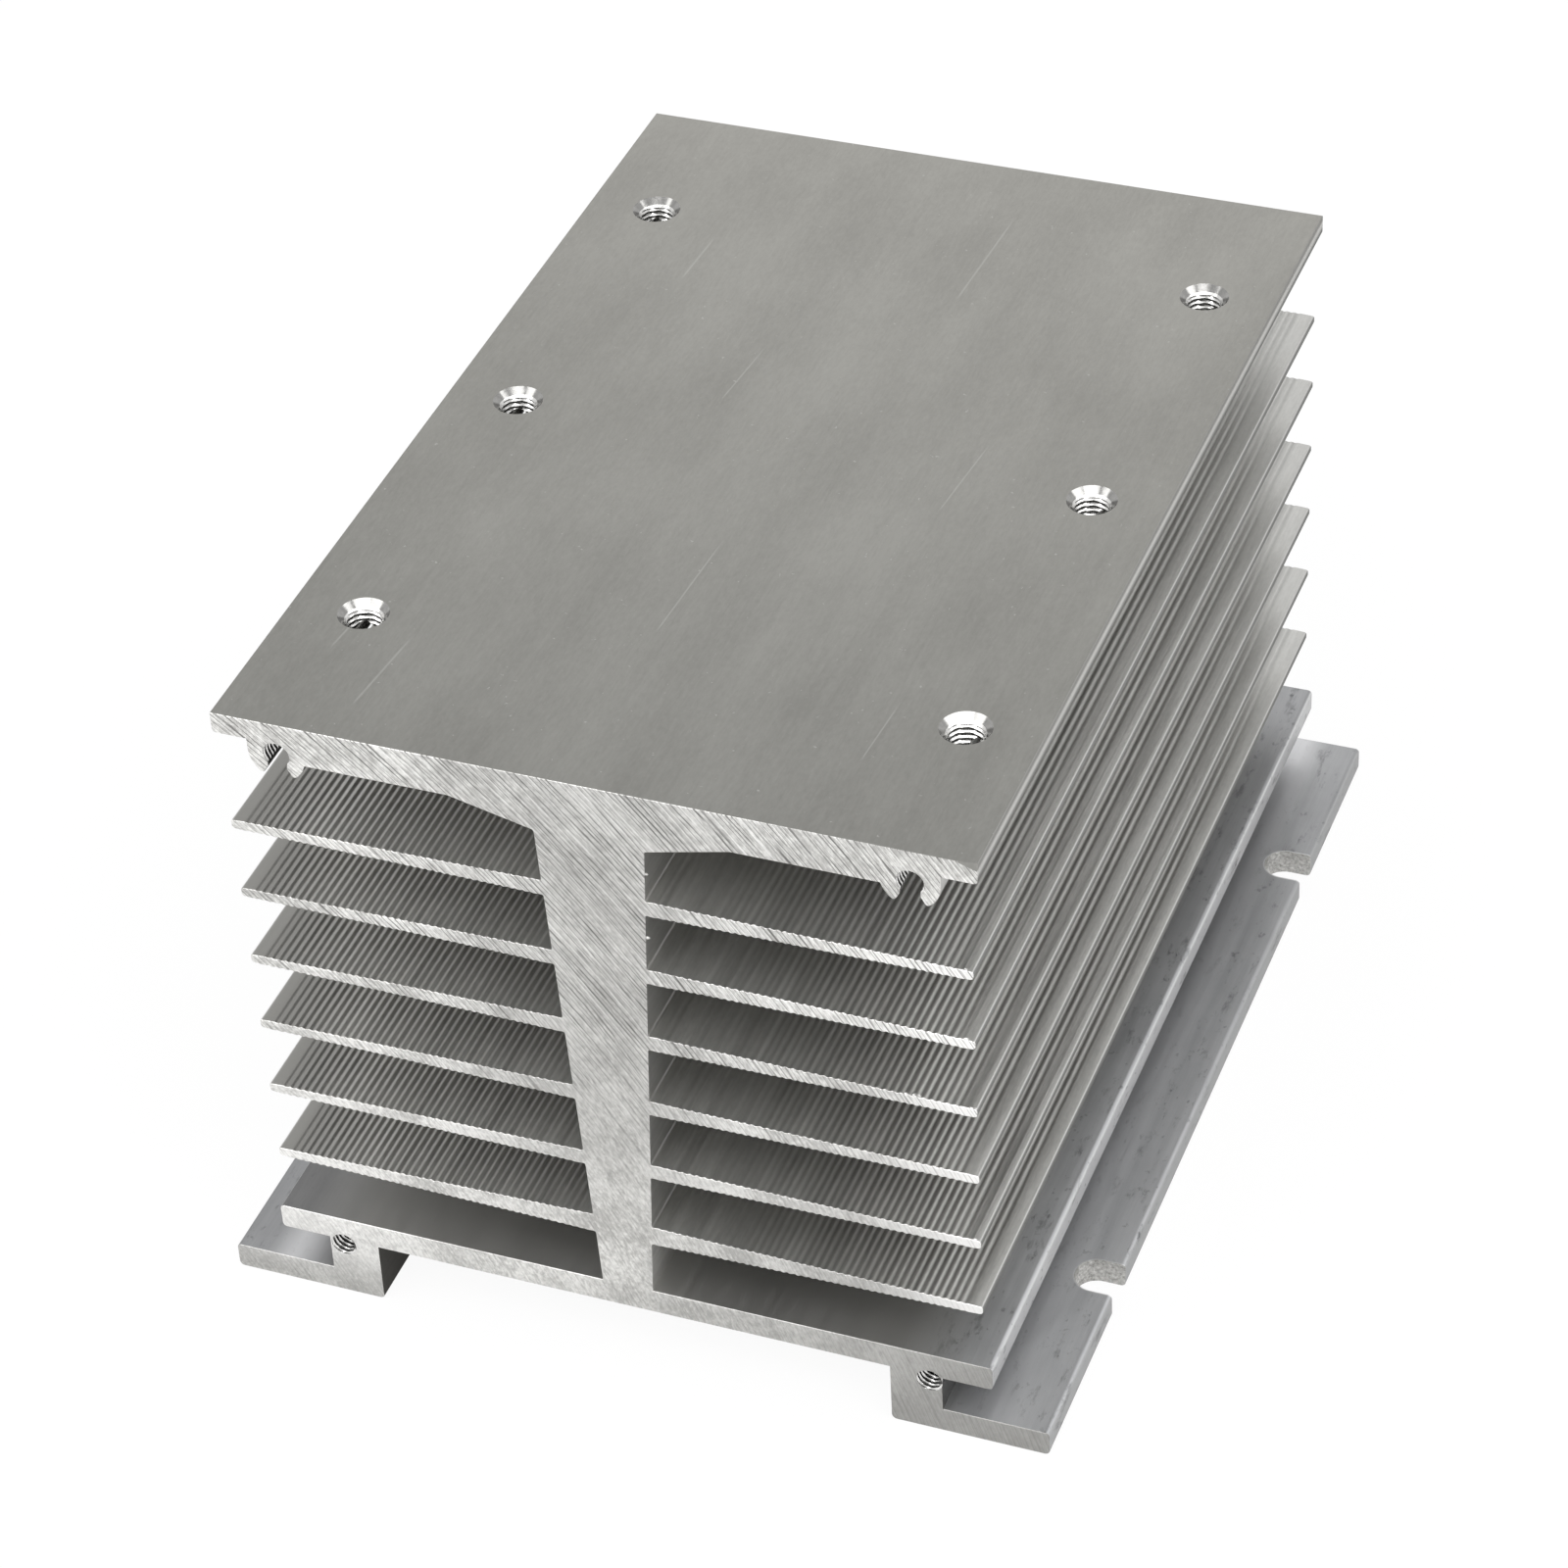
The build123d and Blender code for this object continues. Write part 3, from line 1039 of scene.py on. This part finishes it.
# %% [markdown]
# ## Give every face its finish
# The tests run from the narrowest to the widest, and the first that fits a face decides. Edges
# that turn by more than a small angle are kept sharp, and all others are shaded smooth.

# %% Give every face its finish
sharp_angle = math.radians(32)


def finish_of(face):
    """Number of the finish of a face."""
    centre = face.center
    normal = face.normal
    at_end = abs(abs(centre.y) - length / 2) < 1.2 * sawn_bevel
    torn = near_burr(centre)
    if (at_end or torn) and abs(normal.y) > (0.2 if torn else 0.6):
        return SAWN
    if normal.y < -0.3 and normal.z > 0.1 and (centre - chipped_corner).length < chip_reach:
        return PLATE
    module_hole = hole_at(centre, module_places, countersink_radius + 0.05 * mm, module_depth)
    if module_hole and abs(normal.z) < 0.99:
        in_sink = overall_height - centre.z < sink_depth
        return SINK if in_sink else thread_light_part(face, module_hole)
    end_hole = hole_at(centre, end_places, end_major + 0.02 * mm, end_depth)
    if end_hole:
        return thread_light_part(face, end_hole)
    return SLOT if in_slot(centre, normal) else pressed_part(centre)


finishes = (plate_mill, fin_mill, base_mill, sawn, sink_metal, lit_flank_metal, shaded_crest_metal, slot_metal)
bar.data.materials.clear()
for material in finishes:
    bar.data.materials.append(material)
for face in bar.data.polygons:
    face.material_index = finish_of(face)
    face.use_smooth = True
bar.data.set_sharp_from_angle(angle=sharp_angle)
for index, material in enumerate(finishes):
    count = sum(1 for face in bar.data.polygons if face.material_index == index)
    print(material.name, count, "faces")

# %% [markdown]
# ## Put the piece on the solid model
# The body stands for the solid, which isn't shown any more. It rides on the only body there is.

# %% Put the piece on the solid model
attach(bar, "root")
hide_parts("heat_sink")

# %% [markdown]
# ## Floor and world
# The part stands on a plain pale floor in a white room with a slightly darker ceiling. The
# floor is a mixture of a matt surface, which takes the shadow, and a plain white glow. The camera
# sees most of the glow, so the background is white. Metal sees less of it, so that the
# undersides and the side faces stay darker than the rest.

# %% Floor and world
floor_size = 6.0
glow_to_camera = 0.93
glow_to_metal = 0.35
floor_mesh = bpy.data.meshes.new("floor")
reach = floor_size / 2
floor_corners = [(-reach, -reach, 0), (reach, -reach, 0), (reach, reach, 0), (-reach, reach, 0)]
floor_mesh.from_pydata(floor_corners, [], [(0, 1, 2, 3)])
floor = bpy.data.objects.new("floor", floor_mesh)
floor.location.z = -0.02 * mm
bpy.context.scene.collection.objects.link(floor)


def glow_share(finish, to_camera, to_metal):
    """Share of plain white: one for the camera, one for mirror-like and clear rays, 0 for others."""
    path = finish.add("ShaderNodeLightPath").socket.node.outputs
    kinds = ("Camera", "Glossy", "Transmission")
    camera, glossy, clear = (Field(finish, path[f"Is {kind} Ray"]) for kind in kinds)
    return (camera * to_camera).math("MAXIMUM", glossy.math("MAXIMUM", clear) * to_metal)


def floor_finish():
    finish = Finish("pale_floor")
    matt = finish.add("ShaderNodeBsdfDiffuse", sockets={"Color": (0.95, 0.95, 0.95, 1)})
    glow = finish.add("ShaderNodeEmission", sockets={"Color": (1, 1, 1, 1), "Strength": 1.0})
    share = glow_share(finish, glow_to_camera, glow_to_metal)
    surface = finish.add("ShaderNodeMixShader", sockets={0: share, 1: matt, 2: glow})
    finish.add("ShaderNodeOutputMaterial", sockets={"Surface": surface})
    return finish.owner


floor.data.materials.append(floor_finish())

world = bpy.data.worlds.new("white_room")
bpy.context.scene.world = world
sky = Finish("white_room", world)
skyward = sky.add("ShaderNodeSeparateXYZ", sockets={0: sky.add("ShaderNodeTexCoord")}, output=2)
ceiling = sky.spread(skyward, 0.25, 0.6)
sky_colour = sky.blend(ceiling, (1, 1, 1, 1), (0.75, 0.75, 0.75, 1))
background = sky.add("ShaderNodeBackground", sockets={"Color": sky_colour, "Strength": 1.0})
sky.add("ShaderNodeOutputWorld", sockets={"Surface": background})
print("floor and world are in place")

# %% [markdown]
# ## Lamps
# Four soft boxes do the shaping. One to the left in front makes the sawn face brightest on its
# left, and one in front and higher lights the rest of it. One to the right lifts the feet and
# the fins' tips there. A weak one behind lifts the far end of the plate with its sheen.

# %% Lamps
def soft_box(name, place, target, width, depth, power):
    """Adds a rectangular area lamp that points at the target."""
    data = bpy.data.lights.new(name, "AREA")
    data.shape = "RECTANGLE"
    data.size = width
    data.size_y = depth
    data.energy = power
    lamp = bpy.data.objects.new(name, data)
    lamp.location = place
    lamp.rotation_mode = "QUATERNION"
    lamp.rotation_quaternion = (Vector(target) - Vector(place)).to_track_quat("-Z", "Y")
    bpy.context.scene.collection.objects.link(lamp)
    return lamp


middle = (0, 0, overall_height / 2)
soft_box("left_lamp", (-0.40, -0.48, 0.56), middle, 0.8, 0.3, 1.9)
soft_box("front_lamp", (0.19, -0.46, 0.68), middle, 0.8, 0.3, 2.2)
soft_box("right_lamp", (0.62, -0.06, 0.56), middle, 0.8, 0.3, 1.9)
soft_box("back_lamp", (-0.3, 0.9, 0.6), middle, 0.8, 0.4, 1.0)
print("four lamps are on")

# %% [markdown]
# ## Camera
# The camera looks down on the part from its right front corner, from two thirds of a metre,
# with a lens a little over twice as long as a normal one. It leans a few degrees.

# %% Camera
camera_target = Vector((-0.54 * mm, -10.58 * mm, 47.8 * mm))
camera_distance = 0.66906
camera_azimuth = math.radians(22.537)
camera_elevation = math.radians(38.206)
camera_lean = math.radians(-3.289)
back = Vector((
    math.sin(camera_azimuth) * math.cos(camera_elevation),
    -math.cos(camera_azimuth) * math.cos(camera_elevation),
    math.sin(camera_elevation),
))
camera_data = bpy.data.cameras.new("camera")
camera_data.sensor_width = 36.0
camera_data.lens = 113.71
camera_data.clip_start = 0.01
camera = bpy.data.objects.new("camera", camera_data)
camera.rotation_mode = "QUATERNION"
level_view = (-back).to_track_quat("-Z", "Y").to_matrix()
camera.rotation_quaternion = (level_view @ Matrix.Rotation(camera_lean, 3, "Z")).to_quaternion()
camera.location = camera_target + back * camera_distance
bpy.context.scene.collection.objects.link(camera)
bpy.context.scene.camera = camera
bpy.context.scene.view_settings.view_transform = "Standard"
print("camera at", [round(v, 3) for v in camera.location])
